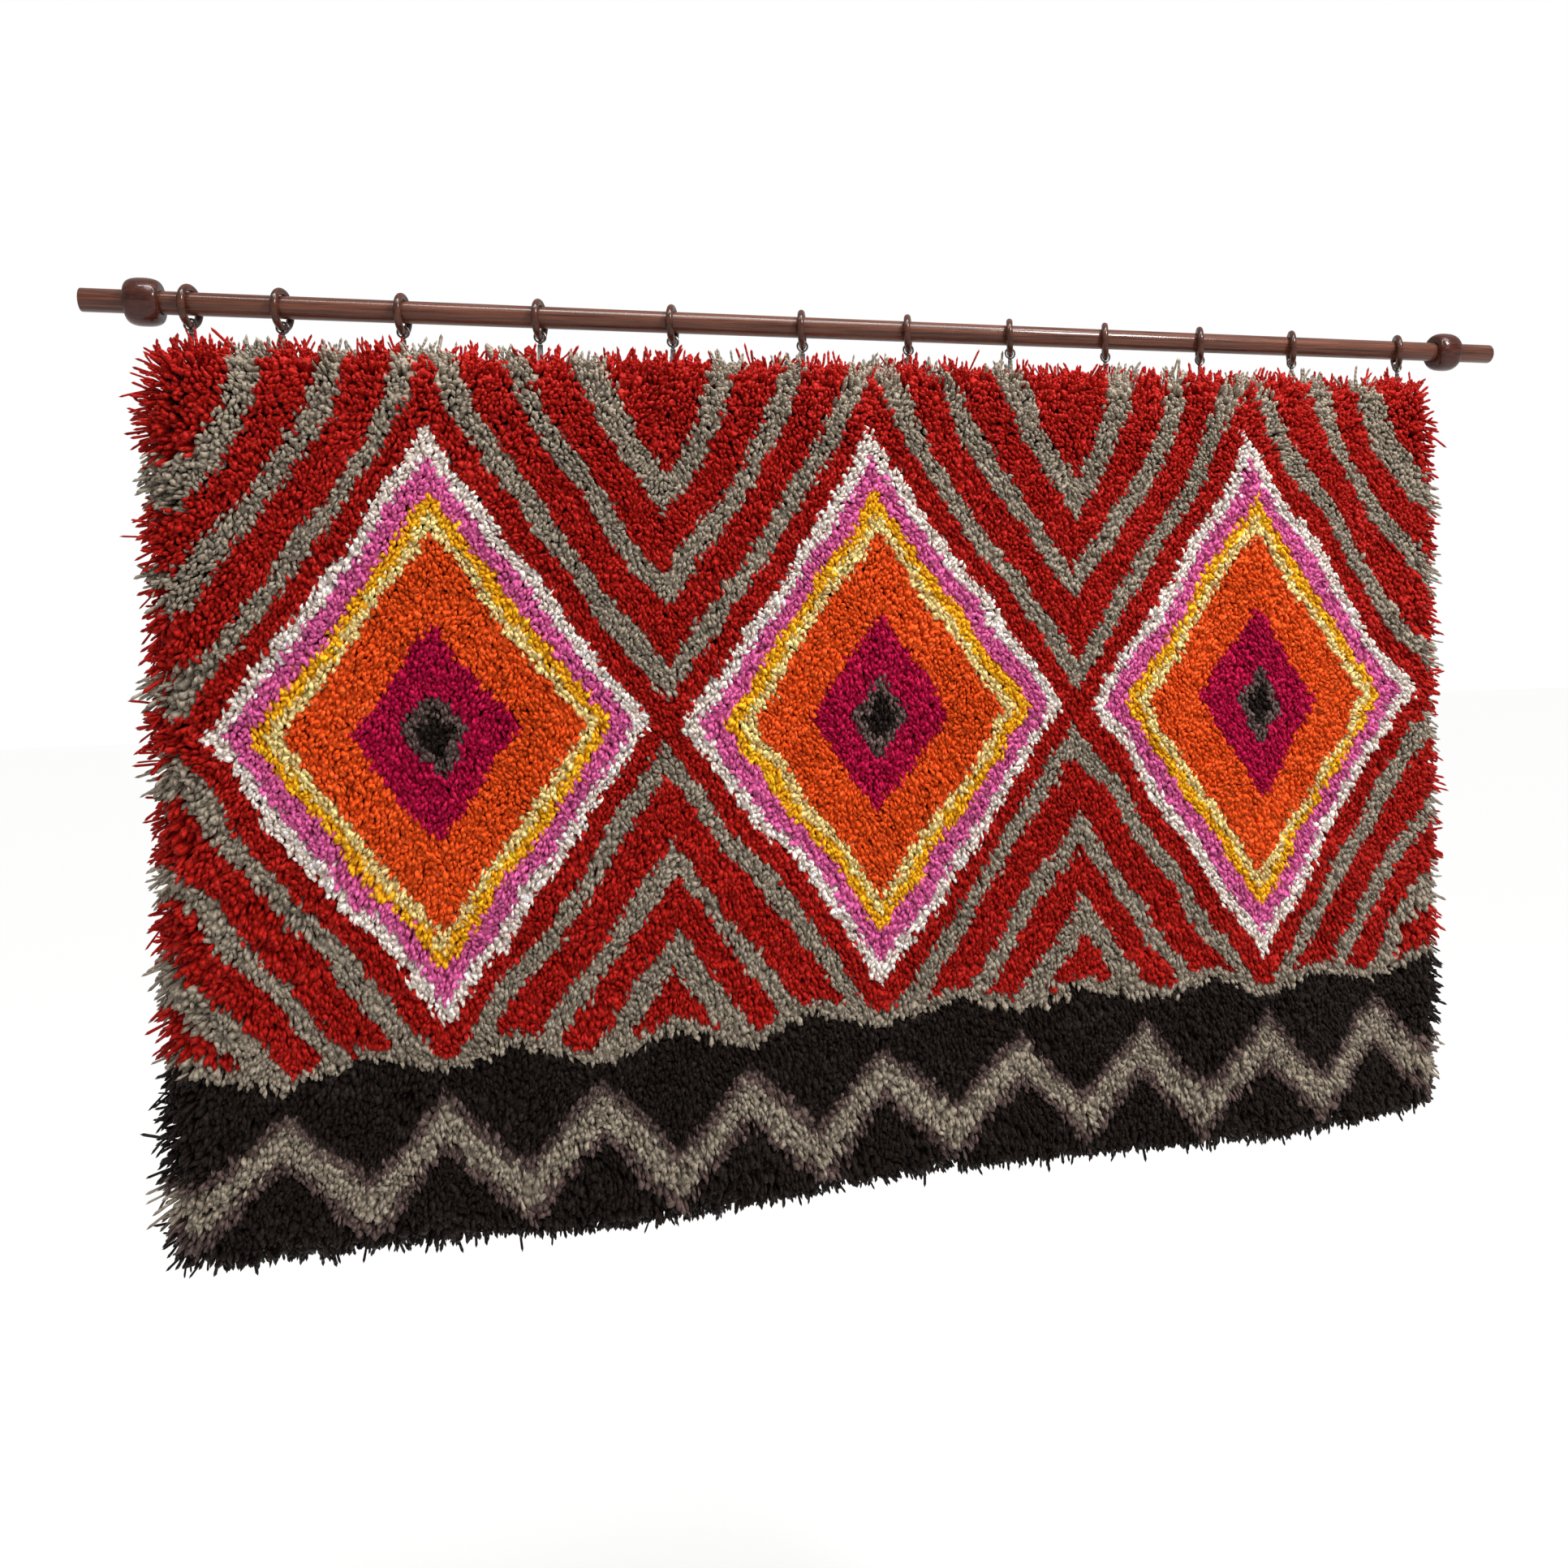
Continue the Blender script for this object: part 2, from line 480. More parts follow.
woolColours = {
    "red": (0.285, 0.0064, 0.0040), "orange": (0.640, 0.066, 0.0080), "magenta": (0.315, 0.0026, 0.034),
    "pink": (0.560, 0.094, 0.265), "white": (0.700, 0.600, 0.530), "yellow": (0.780, 0.350, 0.010),
    "straw": (0.720, 0.530, 0.215), "greige": (0.225, 0.185, 0.140), "taupe": (0.078, 0.050, 0.044),
    "dark": (0.0080, 0.0050, 0.0040),
}
woolFinish = {
    "gloss": {"Roughness": 0.48, "Sheen Weight": 0.15, "Sheen Roughness": 0.40, "Specular IOR Level": 0.42},
    "lift": 1.35, "darkShare": 0.55, "lightShare": 1.38, "lightest": 0.97,
    "depth": ((0.10, 1.0), (0.70, 0.96), (0.93, 0.76), (1.0, 0.83)),  # the shade from root to tip
    "plyTurn": 62.0, "plySlant": 2.2, "fibre": 1400.0, "relief": 0.00035,
}


def woolMaterial(name, colour):
    strongest = max(colour)
    gleam = min(1.0, (strongest / 0.25) ** 0.5)
    vivid = (*(gleam * (channel / strongest) ** 0.6 for channel in colour), 1.0)
    material, tree = startMaterial("wool " + name, {
        **woolFinish["gloss"], "Sheen Tint": vivid, "Specular Tint": vivid})
    # Wool takes light in and passes it on, so the colour is lifted for the ends that lie in shade.
    deep = scaled(colour, woolFinish["lift"])
    light = tuple(min(channel * woolFinish["lightShare"] + 0.010, woolFinish["lightest"]) for channel in deep)
    stops = ((0.0, scaled(deep, woolFinish["darkShare"])), (0.5, deep), (1.0, light))
    dyed = rampNode(tree, meshValue(tree, "tone"), stops)
    along = meshValue(tree, "along")
    shaded = mixNode(tree, dyed, rampNode(tree, along, woolFinish["depth"]), blend="MULTIPLY")
    # Plies wind round the end of yarn, with fine fibres over them.
    slant = mathNode(tree, "MULTIPLY", meshValue(tree, "side"), woolFinish["plySlant"])
    ply = mathNode(tree, "SINE", mathNode(tree, "MULTIPLY_ADD", along, woolFinish["plyTurn"], slant))
    fibre = noiseNode(tree, objectPlace(tree), woolFinish["fibre"], 1.0)
    return endMaterial(material, shaded, mathNode(tree, "ADD", ply, fibre), woolFinish["relief"], 0.7)


yarnGrower = yarnTree()
allEnds = yarnEnds()
print("yarn ends", len(allEnds["wool"]))


def growPile():
    pieces = []
    for index, name in enumerate(wools):
        material = woolMaterial(name, woolColours[name])
        for rim, form in ((False, yarn["inner"]), (True, yarn["outer"])):
            rows = np.flatnonzero((allEnds["wool"] == index) & (allEnds["rim"] == rim))
            if not len(rows):
                continue
            values = {"Rings": form["rings"], "Tip Crowding": form["crowding"], "Wool": material}
            rows = rows[np.argsort(allEnds["place"][rows, 0], kind="stable")]
            for part, chosen in enumerate(np.array_split(rows, math.ceil(len(rows) / form["most"]))):
                points = {key: column[chosen] for key, column in allEnds.items() if key not in ("wool", "rim")}
                label = f"pile_{name}{'_rim' if rim else ''}_{part + 1}"
                piece = grownFrom(label, points, yarnGrower, values, keep=("tone",))
                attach(piece, "root")
                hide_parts("pile")
                pieces.append(piece)
    return pieces


pilePieces = growPile()
print("pile grown,", sum(len(p.data.polygons) for p in pilePieces), "faces in", len(pilePieces), "pieces")


# The canvas: an open cotton sheet with the knots' backs on it, and a hem folded to the back.
cloth = {
    "colour": (0.560, 0.470, 0.340), "gloss": {"Roughness": 0.92, "Specular IOR Level": 0.2},
    "thickness": 0.0022, "knotShade": 0.82, "knotSpread": 0.14, "threads": 0.0032,
    "hemBack": 0.0040, "hemWander": 0.0006, "hemWanderSize": 0.030,
    "hemSection": (  # distance in from the cloth's edge, and depth behind its front
        (0.0016, 0.0000), (0.0005, 0.0003), (0.0001, 0.0011), (0.0001, 0.0028), (0.0006, 0.0037), (0.0020, 0.0041),
        (0.0100, 0.0039), (0.0200, 0.0041), (0.0292, 0.0040), (0.0305, 0.0032), (0.0302, 0.0021), (0.0080, 0.0010),
    ),
    "hemFolded": (8, 9, 10), "hemSteps": (220, 136),  # the section's points at the folded edge, which wanders
    "stitchLength": 0.0062, "stitchStep": 0.0095, "stitchWidth": 0.00055, "stitchInset": 0.0262, "stitchDepth": 0.0042,
}


def meshFrom(name, places, faces):
    mesh = bpy.data.meshes.new(name)
    mesh.from_pydata(np.asarray(places, float).tolist(), [], faces)
    mesh.polygons.foreach_set("use_smooth", np.ones(len(mesh.polygons), bool))
    mesh.update()
    return mesh


def recalculated(mesh, mergeGap=0.0):
    shell = bmesh.new()
    shell.from_mesh(mesh)
    if mergeGap:
        bmesh.ops.remove_doubles(shell, verts=shell.verts, dist=mergeGap)
    bmesh.ops.recalc_face_normals(shell, faces=shell.faces)
    shell.to_mesh(mesh)
    shell.free()
    return mesh


def loopFaces(loops, closed):
    # Faces between neighbouring loops of points, and from the last loop to the first where they close.
    count = len(loops[0])
    here = np.arange(count)
    after = (here + 1) % count
    faces = []
    for order in range(len(loops) if closed else len(loops) - 1):
        one, two = order * count, (order + 1) % len(loops) * count
        faces.append(np.stack([here + one, after + one, after + two, here + two], axis=1))
    return np.concatenate(faces).tolist()


def cottonNode(tree, place, patches, darkest):
    # Raw cotton, a little soiled in patches.
    soil = noiseNode(tree, place, patches, 3.0)
    return rampNode(tree, soil, ((0.35, scaled(cloth["colour"], darkest)), (0.65, cloth["colour"])))


def canvasMaterial():
    material, tree = startMaterial("cotton canvas", cloth["gloss"])
    split = addNode(tree, "ShaderNodeSeparateXYZ", {0: addNode(tree, "ShaderNodeUVMap", uv_map="weave")})
    fromMiddle = [mathNode(tree, "ABSOLUTE", mathNode(tree, "SUBTRACT", mathNode(tree, "FRACT", axis), 0.5))
                  for axis in split.outputs[0:2]]
    thread = mathNode(tree, "MAXIMUM", *fromMiddle)
    hole = rampNode(tree, thread, ((0.26, 0.0), (0.33, 1.0), (0.44, 0.86), (0.5, 0.55)))
    bar = mathNode(tree, "MAXIMUM", fromMiddle[0], mathNode(tree, "MULTIPLY", fromMiddle[1], 1.3))
    knot = rampNode(tree, bar, ((0.33, 1.0), (0.46, 0.0)))
    dyed = addNode(tree, "ShaderNodeAttribute", attribute_name="knotColour")
    tied = mathNode(tree, "MULTIPLY", knot, dyed.outputs["Alpha"])
    place = objectPlace(tree)
    fibre = noiseNode(tree, place, 900.0, 3.0, 0.6)
    woven = mixNode(tree, (*scaled(cloth["colour"], 0.22), 1.0), cottonNode(tree, place, 9.0, 0.84), hole)
    knotted = mixNode(tree, woven, dyed.outputs["Color"], tied)
    speckle = rampNode(tree, fibre, ((0.30, 0.72), (0.70, 1.0)))
    done = mixNode(tree, knotted, speckle, blend="MULTIPLY")
    relief = mathNode(tree, "ADD", mathNode(tree, "MAXIMUM", mathNode(tree, "MULTIPLY", hole, 0.5), tied),
                      mathNode(tree, "MULTIPLY", fibre, 0.25))
    return endMaterial(material, done, relief, 0.0012)


def paintKnots(mesh, u, w, owner, across, down):
    # Each cell of the back carries its knot's colour. Cells under the hem and at the edges carry none.
    reach = yarn["knotPitch"] / 2
    firsts = np.array([p.loop_start for p in mesh.polygons])
    counts = np.array([p.loop_total for p in mesh.polygons])
    cellU = np.add.reduceat(u[owner], firsts) / counts
    cellW = np.add.reduceat(w[owner], firsts) / counts
    isBack = np.array([p.normal.y for p in mesh.polygons]) > 0.5
    inKnots = isBack & (np.abs(cellU) < rug["width"] / 2 - yarn["sideMargin"] + reach)
    inKnots &= (cellW > down[0] - reach) & (cellW < down[-1] + reach)
    tints = np.array([woolColours[name] for name in wools], np.float32) * cloth["knotShade"]
    shade = 1.0 + cloth["knotSpread"] * np.random.default_rng(21).normal(0.0, 1.0, len(counts))
    picked = tints[patternWool(cellU, cellW)] * np.clip(shade, 0.6, 1.4)[:, None]
    colours = np.column_stack([np.where(inKnots[:, None], picked, cloth["colour"]), inKnots])
    corners = np.repeat(colours, counts, axis=0).astype(np.float32)
    mesh.color_attributes.new("knotColour", "FLOAT_COLOR", "CORNER").data.foreach_set("color", corners.ravel())


def makeCanvas():
    across, down = knotGrid()
    pitch, half = yarn["knotPitch"], rug["width"] / 2
    columns = np.concatenate([[-half], across - pitch / 2, [across[-1] + pitch / 2, half]])
    rows = np.concatenate([[0.0], (down - pitch / 2)[::2], [down[-1] + pitch / 2, rug["height"]]])
    wide, tall = len(columns), len(rows)
    u, w = (axis.ravel() for axis in np.meshgrid(columns, rows))
    places = np.concatenate([rugPoint(u, w), rugPoint(u, w, -cloth["thickness"])])
    grid = np.arange(wide * tall).reshape(tall, wide)
    start = grid[:-1, :-1].ravel()
    front = np.stack([start, start + wide, start + wide + 1, start + 1], axis=1)
    back = front[:, ::-1] + wide * tall
    border = np.concatenate([grid[0, :-1], grid[:-1, -1], grid[-1, :0:-1], grid[:0:-1, 0]])
    after = np.roll(border, -1)
    wall = np.stack([border, after, after + wide * tall, border + wide * tall], axis=1)
    mesh = recalculated(meshFrom("canvas_cloth", places, np.concatenate([front, back, wall]).tolist()))
    corners = np.empty(len(mesh.loops), np.int32)
    mesh.loops.foreach_get("vertex_index", corners)
    owner = corners % (wide * tall)
    weave = np.stack([(u[owner] - across[0]) / pitch + 0.5, (w[owner] - down[0]) / pitch + 0.5], axis=1)
    mesh.uv_layers.new(name="weave").data.foreach_set("uv", weave.astype(np.float32).ravel())
    paintKnots(mesh, u, w, owner, across, down)
    mesh.materials.append(canvasMaterial())
    return addObject("canvas_cloth", mesh)


def edgeLoop(inset, steps):
    # Points round the cloth at this distance in from its edge, clockwise from the top left corner.
    half, height = rug["width"] / 2 - inset, rug["height"]
    wide, tall = steps
    a, b = np.linspace(0.0, 1.0, wide, endpoint=False), np.linspace(0.0, 1.0, tall, endpoint=False)
    u = np.concatenate([-half + 2 * half * a, np.full(tall, half), half - 2 * half * a, np.full(tall, -half)])
    w = np.concatenate([np.full(wide, inset), inset + (height - 2 * inset) * b, np.full(wide, height - inset),
                        height - inset - (height - 2 * inset) * b])
    return u, w


def hemMaterial():
    material, tree = startMaterial("hem canvas", cloth["gloss"])
    place = objectPlace(tree)
    split = addNode(tree, "ShaderNodeSeparateXYZ", {0: place})
    turns = 2.0 * math.pi / cloth["threads"]
    across, upward = (mathNode(tree, "SINE", mathNode(tree, "MULTIPLY", split.outputs[axis], turns)) for axis in "XZ")
    weave = mathNode(tree, "MULTIPLY_ADD", mathNode(tree, "MULTIPLY", across, upward), 0.5, 0.5)
    fibre = noiseNode(tree, place, 900.0, 3.0, 0.6)
    shade = rampNode(tree, mathNode(tree, "MULTIPLY", weave, fibre), ((0.02, 0.58), (0.5, 1.0)))
    done = mixNode(tree, cottonNode(tree, place, 12.0, 0.82), shade, blend="MULTIPLY")
    relief = mathNode(tree, "ADD", weave, mathNode(tree, "MULTIPLY", fibre, 0.5))
    return endMaterial(material, done, relief, 0.0007)


def makeHem():
    loops = []
    for order, (inset, depth) in enumerate(cloth["hemSection"]):
        u, w = edgeLoop(inset, cloth["hemSteps"])
        if order in cloth["hemFolded"]:
            drift = cloth["hemWander"] * softNoise(u, w, cloth["hemWanderSize"], 31)
            u, w = u + drift * np.sign(u) * (np.abs(u) > 0.64), w + drift
        loops.append(rugPoint(u, w, -depth))
    mesh = recalculated(meshFrom("canvas_hem", np.concatenate(loops), loopFaces(loops, True)))
    mesh.materials.append(hemMaterial())
    return addObject("canvas_hem", mesh)


def threadMaterial():
    material, tree = startMaterial("hem thread", {"Roughness": 0.8})
    shades = ((0.0, (0.30, 0.25, 0.18)), (0.5, (0.66, 0.58, 0.45)), (1.0, (0.34, 0.28, 0.20)))
    colour = rampNode(tree, meshValue(tree, "along"), shades)
    return endMaterial(material, colour, noiseNode(tree, objectPlace(tree), 2200.0, 1.0), 0.0002)


def makeHemStitches():
    inset, step, width = cloth["stitchInset"], cloth["stitchStep"], cloth["stitchWidth"]
    wide, tall = int((rug["width"] - 2 * inset) / step), int((rug["height"] - 2 * inset) / step)
    start = rugPoint(*edgeLoop(inset, (wide, tall)), -cloth["stitchDepth"])
    after = np.roll(start, -1, axis=0)
    count = len(start)
    points = {
        "place": start, "direction": (after - start) / np.linalg.norm(after - start, axis=1)[:, None],
        "bend": np.zeros((count, 3)), "curl": np.zeros((count, 3)), "spin": np.zeros(count),
        "length": cloth["stitchLength"] * (1.0 + np.random.default_rng(33).normal(0.0, 0.05, count)),
        "width": np.full(count, width), "breadth": np.full(count, width), "tone": np.full(count, 0.5),
    }
    values = {"Ply Sides": 5, "Rings": 5, "Tip Crowding": 1.6, "Sag": 0.0, "Wool": threadMaterial()}
    return grownFrom("hem_stitches", points, yarnGrower, values)


canvasPiece, hemPiece, stitchPiece = makeCanvas(), makeHem(), makeHemStitches()
for piece in (canvasPiece, hemPiece, stitchPiece):
    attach(piece, "root")
    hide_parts("canvas")
print("canvas and hem made")


# Turned pieces along the rod: a profile of places and radii, swept round the X axis.
def turned(name, profile, sides, material, closed=False):
    angle = np.linspace(0.0, 2.0 * np.pi, sides, endpoint=False)
    loops = [np.stack([np.full(sides, x), r * np.cos(angle), r * np.sin(angle)], axis=1) for x, r in profile]
    mesh = recalculated(meshFrom(name, np.concatenate(loops), loopFaces(loops, closed)), mergeGap=0.000002)
    mesh.materials.append(material)
    return addObject(name, mesh)


def woodMaterial(name, dark, warm, gloss, along, across, mottle=0.0):
    # Stained wood: long fine grain along X, open pores and a worn lacquer.
    finish = {"Coat Weight": 0.42, "Coat Roughness": 0.10, "Specular IOR Level": 0.08}
    material, tree = startMaterial(name, finish)
    place = objectPlace(tree)
    bands = noiseNode(tree, stretched(tree, place, (along, across, across)), 1.0, 4.0, 0.62)
    pores = noiseNode(tree, stretched(tree, place, (along * 3.0, across * 5.0, across * 5.0)), 1.0, 2.0, 0.7)
    stain = rampNode(tree, bands, ((0.28, dark), (0.52, scaled(warm, 0.62)), (0.74, warm)))
    mixed = mixNode(tree, stain, rampNode(tree, pores, ((0.36, 0.60), (0.50, 1.0))), blend="MULTIPLY")
    if mottle:
        cloud = rampNode(tree, noiseNode(tree, place, 110.0, 3.0), ((0.42, 0.0), (0.66, mottle)))
        mixed = mixNode(tree, mixed, (*scaled(warm, 1.9), 1.0), cloud)
    rubbed = rampNode(tree, noiseNode(tree, place, 60.0, 3.0), ((0.3, gloss * 0.75), (0.7, gloss * 1.4)))
    relief = mathNode(tree, "ADD", mathNode(tree, "MULTIPLY", bands, 0.5), pores)
    return endMaterial(material, mixed, relief, 0.00022, roughness=rubbed)


rod = {
    "radius": 0.011, "length": 1.554, "chamfer": 0.0008, "sides": 64,
    "stain": {"dark": (0.022, 0.0060, 0.0035), "warm": (0.165, 0.056, 0.032), "gloss": 0.30,
              "along": 9.0, "across": 420.0},
}
knob = {
    "radius": 0.0225, "length": 0.030, "endRadius": 0.0155, "roundness": 2.5, "bore": 0.0113, "sides": 72,
    "places": {"knob_left": -0.7232, "knob_right": 0.7112},
    "stain": {"dark": (0.014, 0.0040, 0.0028), "warm": (0.080, 0.020, 0.012), "gloss": 0.20,
              "along": 30.0, "across": 300.0, "mottle": 0.12},
}


def makeRod():
    half, radius, cut = rod["length"] / 2, rod["radius"], rod["chamfer"]
    end = [(0.0003, 0.0), (0.0002, radius * 0.5), (0.0, radius - cut * 1.2), (cut * 0.3, radius - cut * 0.3)]
    profile = [(inset - half, r) for inset, r in end]
    profile += [(x, radius) for x in np.linspace(cut - half, half - cut, 25)]
    profile += [(half - inset, r) for inset, r in end[::-1]]
    return turned("rod_dowel", profile, rod["sides"], woodMaterial("rod stain", **rod["stain"]))


def makeKnob(name, middle, material):
    half, bore, endRadius, roundness = knob["length"] / 2, knob["bore"], knob["endRadius"], knob["roundness"]
    end = [(0.0004, bore), (0.0, bore + 0.0006), (0.0, endRadius - 0.0012), (0.0002, endRadius - 0.0004)]
    profile = [(inset - half, r) for inset, r in end]
    for share in np.sin(np.linspace(-0.5, 0.5, 31) * np.pi)[1:-1]:
        rise = (1.0 - abs(share) ** roundness) ** (1.0 / roundness)
        profile.append((share * half, endRadius + (knob["radius"] - endRadius) * rise))
    profile += [(half - inset, r) for inset, r in end[::-1]]
    return turned(name + "_turned", [(x + middle, r) for x, r in profile], knob["sides"], material, closed=True)


rodPiece = makeRod()
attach(rodPiece, "root")
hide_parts("rod")
knobWood = woodMaterial("knob stain", **knob["stain"])
for name, middle in knob["places"].items():
    piece = makeKnob(name, middle, knobWood)
    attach(piece, "root")
    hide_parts(name)
print("rod and knobs turned")


# Twelve rings hang on the rod, each turned a little.
ring = {
    "radius": 0.0175, "tube": 0.0036, "rest": 0.0005, "steps": 48, "sides": 14,
    "stain": {"dark": (0.013, 0.0045, 0.0030), "warm": (0.085, 0.027, 0.015), "gloss": 0.24,
              "along": 140.0, "across": 140.0, "mottle": 0.22},
}
ringZ = rod["radius"] + ring["rest"] + ring["tube"] - ring["radius"]


def ringTree():
    tree, given = startTree("curtain rings", (
        ("Ring Radius", "Float", ring["radius"]), ("Tube Radius", "Float", ring["tube"]),
        ("Steps", "Int", ring["steps"]), ("Sides", "Int", ring["sides"]), ("Wood", "Material", None),
    ))
    spine, section = (
        addNode(tree, "GeometryNodeCurvePrimitiveCircle", {"Resolution": given[count], "Radius": given[size]})
        for count, size in (("Steps", "Ring Radius"), ("Sides", "Tube Radius")))
    tube = addNode(tree, "GeometryNodeCurveToMesh", {"Curve": spine, "Profile Curve": section})
    axis = readAttribute(tree, "axis", "FLOAT_VECTOR")
    aimed = addNode(tree, "FunctionNodeAlignRotationToVector", {"Vector": axis}, axis="Z")
    endTree(tree, scattered(tree, given["Geometry"], tube, aimed), given["Wood"])
    return tree


def makeRings():
    turns, none = np.radians([row[1] for row in ringRows]), np.zeros(len(ringRows))
    places = np.stack([ringPlaces, none, none + ringZ], axis=1)
    axes = np.stack([np.cos(turns), np.sin(turns), none], axis=1)
    wood = woodMaterial("ring stain", **ring["stain"])
    return grownFrom("curtain_rings", {"place": places, "axis": axes}, ringTree(), {"Wood": wood})


ringPiece = makeRings()
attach(ringPiece, "root")
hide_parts(*[f"ring_{order:02d}" for order in range(1, 13)])
print("rings hung")


# A clip: a wire eye round the ring, a neck folded over the wire, and a strap over the canvas's top edge.
clip = {
    "eye": 0.0055, "wire": 0.0010, "lap": 0.18, "eyeSteps": 28, "wireSides": 8,
    "curl": 0.0017, "curlStrap": 0.0007, "neckWidth": 0.0052, "neckTop": 0.0022,
    "strapWidth": 0.0075, "strap": 0.0009, "reach": 0.0085, "gap": 0.0003, "corner": 0.0008, "edge": 0.00018,
    "turn": 0.06, "wireFrom": (-0.040, -0.030),
}


def stripMesh(shell, path, widths, thickness):
    # A flat strip through points (y, z), with softened edges and closed ends.
    path, edge = np.array(path, float), clip["edge"]
    way = np.gradient(path, axis=0)
    way /= np.linalg.norm(way, axis=1)[:, None]
    side = np.stack([-way[:, 1], way[:, 0]], axis=1)
    rings = []
    for point, out, width in zip(path, side, np.broadcast_to(widths, len(path))):
        half, thick = width / 2, thickness / 2
        right = [(half - edge, -thick), (half, edge - thick), (half, thick - edge), (half - edge, thick)]
        outline = [(-half, edge - thick), (edge - half, -thick), *right, (edge - half, thick), (-half, thick - edge)]
        rings.append([shell.verts.new((x, *(point + out * lift))) for x, lift in outline])
    for one, two in zip(rings, rings[1:]):
        for order in range(8):
            after = (order + 1) % 8
            shell.faces.new((one[order], one[after], two[after], two[order]))
    shell.faces.new(rings[0][::-1])
    shell.faces.new(rings[-1])


def wireEye(shell, eyeZ):
    # The eye is closed with its ends lapped, so one side is a little thicker.
    steps, sides = clip["eyeSteps"], clip["wireSides"]
    loops = []
    for order in range(steps):
        turn = 2.0 * math.pi * order / steps
        thick = clip["wire"] * (1.0 + clip["lap"] * max(math.cos(turn - 1.2), 0.0) ** 8)
        out = Vector((math.cos(turn), 0.0, math.sin(turn)))
        middle = out * clip["eye"] + Vector((0.0, 0.0, eyeZ))
        loops.append([shell.verts.new(middle + out * math.cos(a) * thick + Vector((0.0, math.sin(a) * thick, 0.0)))
                      for a in (2.0 * math.pi * s / sides for s in range(sides))])
    for one, two in zip(loops, loops[1:] + loops[:1]):
        for s in range(sides):
            shell.faces.new((one[s], two[s], two[(s + 1) % sides], one[(s + 1) % sides]))


def clipMesh():
    eyeZ = ringZ - ring["radius"]
    half, corner = clip["strap"] / 2, clip["corner"]
    neckTop, bridge = eyeZ - clip["eye"], rug["topZ"] + clip["gap"] + half
    shell = bmesh.new()
    wireEye(shell, eyeZ)
    # The neck's top is curled round the wire, and the neck widens into the strap.
    curl = [(clip["curl"] * math.sin(a), neckTop + clip["curl"] * math.cos(a)) for a in np.linspace(-2.4, 2.6, 13)]
    stripMesh(shell, curl, clip["neckWidth"] * 0.72, clip["curlStrap"])
    neck = [(0.0, z) for z in np.linspace(neckTop - clip["neckTop"], bridge + 0.0004, 9)]
    flare = np.linspace(0.0, 1.0, len(neck)) ** 1.6
    stripMesh(shell, neck, clip["neckWidth"] + (clip["strapWidth"] - clip["neckWidth"]) * flare, clip["strap"])
    # The strap goes up the front, over the hem and down the back, and its two feet stand off a little.
    front = rug["frontY"] - clip["gap"] - half
    back = rug["frontY"] + cloth["hemBack"] + clip["gap"] + half
    foot = rug["topZ"] - clip["reach"]
    side = [(0.0004, foot), (0.0001, foot + 0.0012), (0.0, foot + 0.0030), (0.0, bridge - corner - 0.0010)]
    bends = [(corner - corner * math.cos(a), bridge - corner + corner * math.sin(a))
             for a in np.linspace(0.0, math.pi / 2, 6)]
    path = [(front - out, z) for out, z in side] + [(front + into, z) for into, z in bends]
    path += [(back - into, z) for into, z in bends[::-1]] + [(back + out, z) for out, z in side[::-1]]
    stripMesh(shell, path, clip["strapWidth"], clip["strap"])
    bmesh.ops.recalc_face_normals(shell, faces=shell.faces)
    mesh = bpy.data.meshes.new("clip")
    shell.to_mesh(mesh)
    shell.free()
    return mesh


def clipTree():
    tree, given = startTree("clips", (
        ("Clip", "Object", None), ("Turn", "Float", clip["turn"]), ("Seed", "Int", 5), ("Steel", "Material", None),
    ))
    one = addNode(tree, "GeometryNodeObjectInfo", {"Object": given["Clip"]}, transform_space="ORIGINAL")
    least = mathNode(tree, "MULTIPLY", given["Turn"], -1.0)
    limits = {2: least, 3: given["Turn"], "Seed": given["Seed"]}
    lean = addNode(tree, "FunctionNodeRandomValue", limits, data_type="FLOAT")
    turn = addNode(tree, "ShaderNodeCombineXYZ", {"Z": lean.outputs[1]})
    endTree(tree, scattered(tree, given["Geometry"], one.outputs["Geometry"], turn), given["Steel"])
    return tree


def steelMaterial():
    # Plated steel, with a darker wire at the top.
    material, tree = startMaterial("clip steel", {"Metallic": 0.9})
    place = objectPlace(tree)
    height = addNode(tree, "ShaderNodeSeparateXYZ", {0: place}).outputs["Z"]
    low, high = clip["wireFrom"]
    upper = addNode(tree, "ShaderNodeMapRange", {"Value": height, 1: low, 2: high, 3: 0.0, 4: 1.0}).outputs[0]
    wear = noiseNode(tree, place, 260.0, 4.0, 0.65)
    plate = rampNode(tree, wear, ((0.3, (0.26, 0.25, 0.26)), (0.62, (0.55, 0.54, 0.55))))
    wire = rampNode(tree, wear, ((0.35, (0.045, 0.035, 0.030)), (0.7, (0.20, 0.17, 0.15))))
    rubbed = rampNode(tree, wear, ((0.3, 0.42), (0.7, 0.24)))
    scratches = noiseNode(tree, stretched(tree, place, (2500.0, 2500.0, 160.0)), 1.0, 2.0)
    return endMaterial(material, mixNode(tree, plate, wire, upper), scratches, 0.00006, roughness=rubbed)


def makeClips():
    source = addObject("clip source", clipMesh())
    points = {"place": np.outer(ringPlaces, (1.0, 0.0, 0.0))}
    piece = grownFrom("hanging_clips", points, clipTree(), {"Clip": source, "Steel": steelMaterial()})
    bpy.data.objects.remove(source, do_unlink=True)
    piece.data.set_sharp_from_angle(angle=math.radians(40.0))
    return piece


clipPiece = makeClips()
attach(clipPiece, "root")
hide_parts(*[f"clip_{order:02d}" for order in range(1, 13)])
print("clips set")


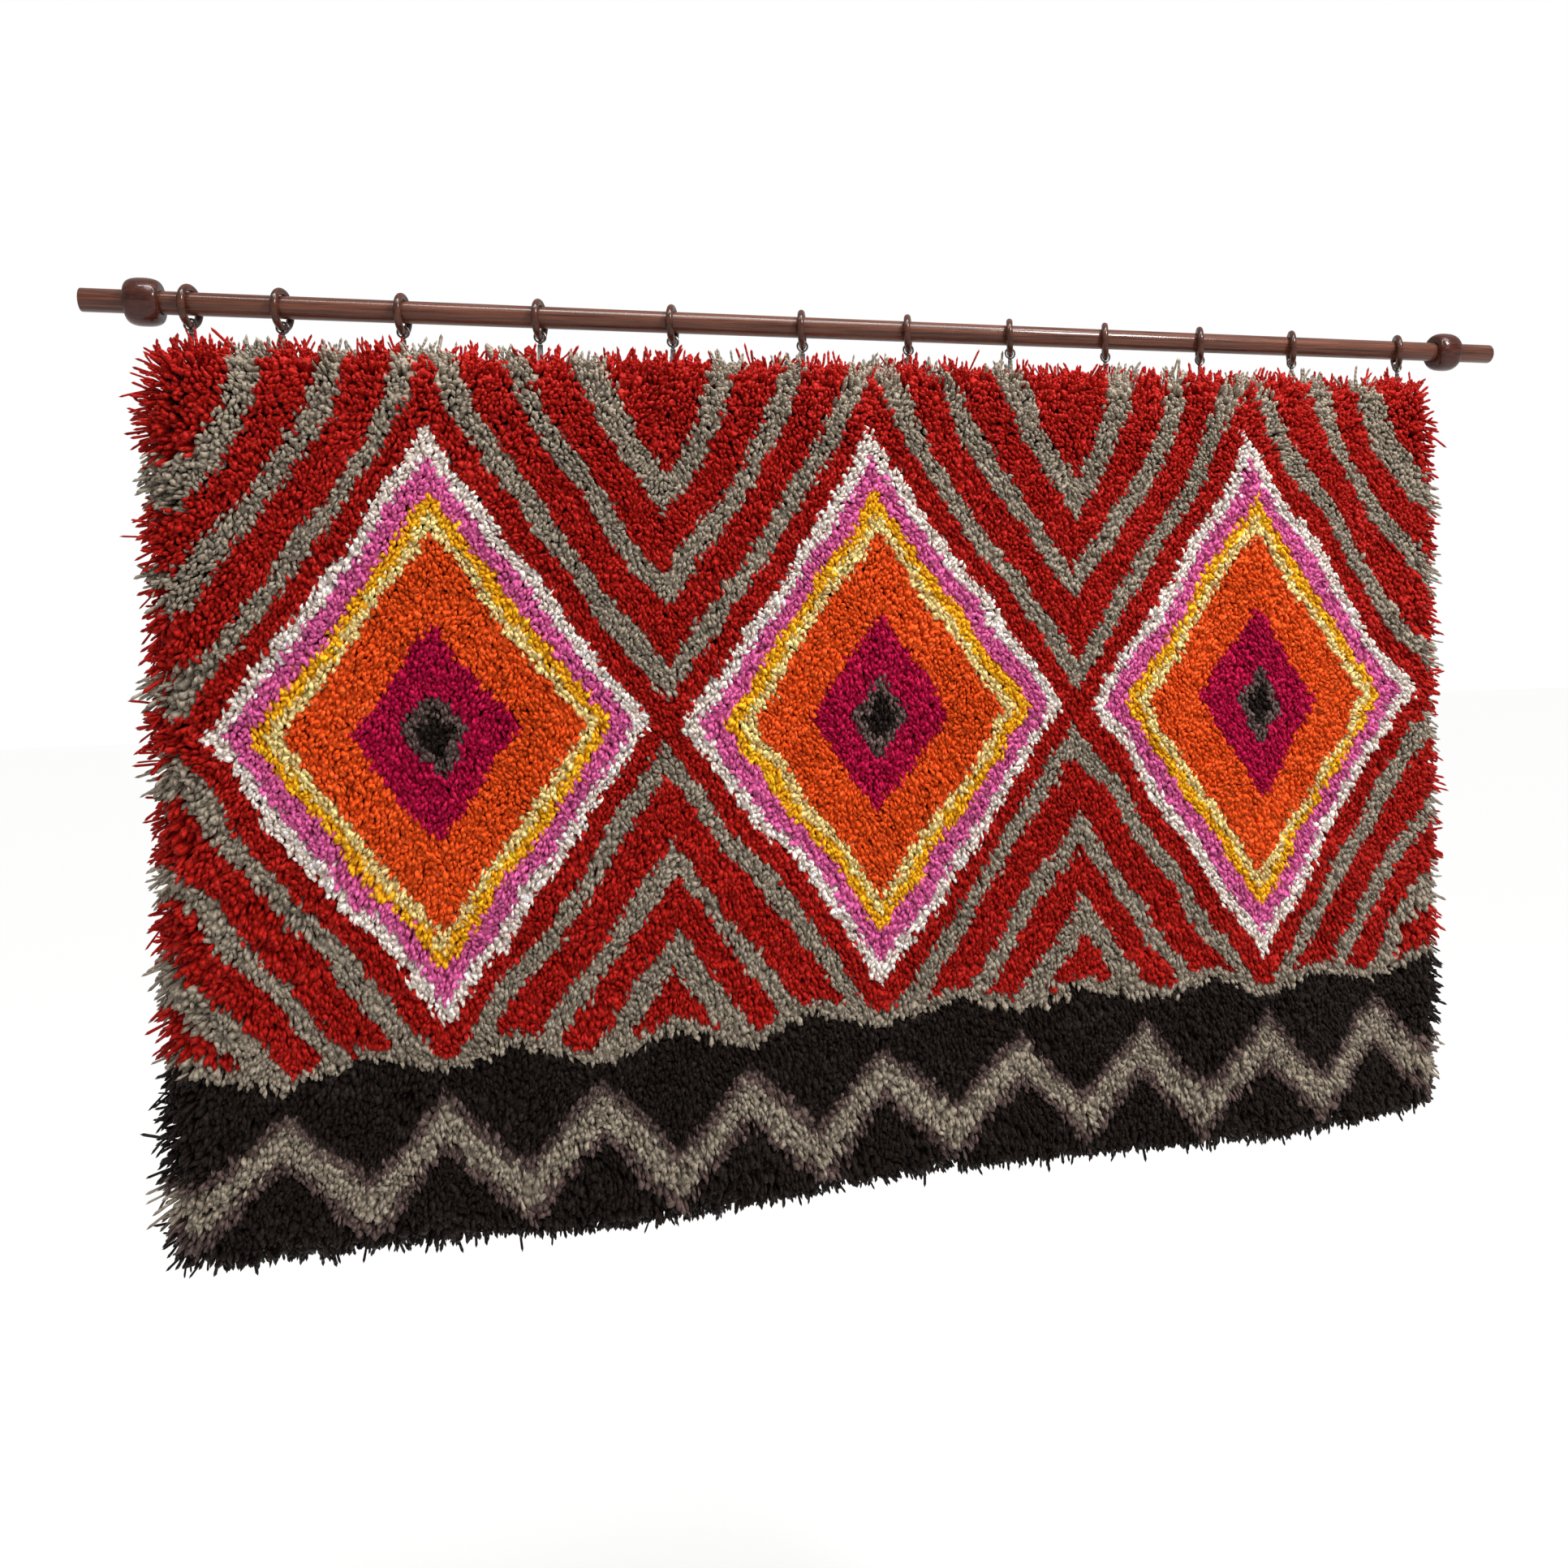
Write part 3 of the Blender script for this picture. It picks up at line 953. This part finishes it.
# A pale floor, soft light from above, and a strip over the rod.
studio = {
    "floorZ": -2.40, "floorSize": 30.0, "floorColour": (0.965, 0.965, 0.96), "backdrop": 1.0, "sky": 0.50,
    "lamps": (  # name, kind, place, what it is aimed at, and its settings
        ("sun", "SUN", (0.0, 0.0, 0.0), (-0.20, 0.50, -1.10), {"energy": 1.9, "angle": math.radians(30.0)}),
        ("key", "AREA", (0.95, -1.20, 1.10), (0.0, 0.0, -0.45),
         {"energy": 36.0, "shape": "RECTANGLE", "size": 0.42, "size_y": 0.42}),
        ("strip", "AREA", (-0.20, -0.30, 0.80), (-0.20, -0.06, -0.05),
         {"energy": 8.5, "shape": "RECTANGLE", "size": 1.50, "size_y": 0.10}),
    ),
}


def makeStudio():
    shell = bmesh.new()
    bmesh.ops.create_grid(shell, x_segments=8, y_segments=8, size=studio["floorSize"])
    mesh = bpy.data.meshes.new("floor")
    shell.to_mesh(mesh)
    shell.free()
    mesh.transform(Matrix.Translation((0.0, 0.0, studio["floorZ"])))
    finish = {"Roughness": 0.9, "Base Color": (*studio["floorColour"], 1.0)}
    mesh.materials.append(startMaterial("floor", finish)[0])
    addObject("floor", mesh)
    world = workScene.world or bpy.data.worlds.new("studio")
    workScene.world = world
    world.use_nodes = True
    tree = world.node_tree
    tree.nodes.clear()
    seen = addNode(tree, "ShaderNodeLightPath").outputs["Is Camera Ray"]
    sky, backdrop = (addNode(tree, "ShaderNodeBackground", {"Color": (1.0, 1.0, 1.0, 1.0), "Strength": studio[name]})
                     for name in ("sky", "backdrop"))
    both = addNode(tree, "ShaderNodeMixShader", {0: seen, 1: sky, 2: backdrop})
    addNode(tree, "ShaderNodeOutputWorld", {"Surface": both})
    for name, kind, place, aim, facts in studio["lamps"]:
        light = bpy.data.lights.new(name, kind)
        for key, value in facts.items():
            setattr(light, key, value)
        lamp = addObject(name, light)
        lamp.location = place
        lamp.rotation_euler = (Vector(aim) - lamp.location).to_track_quat("-Z", "Y").to_euler()
    workScene.view_settings.view_transform = "Standard"


makeStudio()
print("light and floor set")
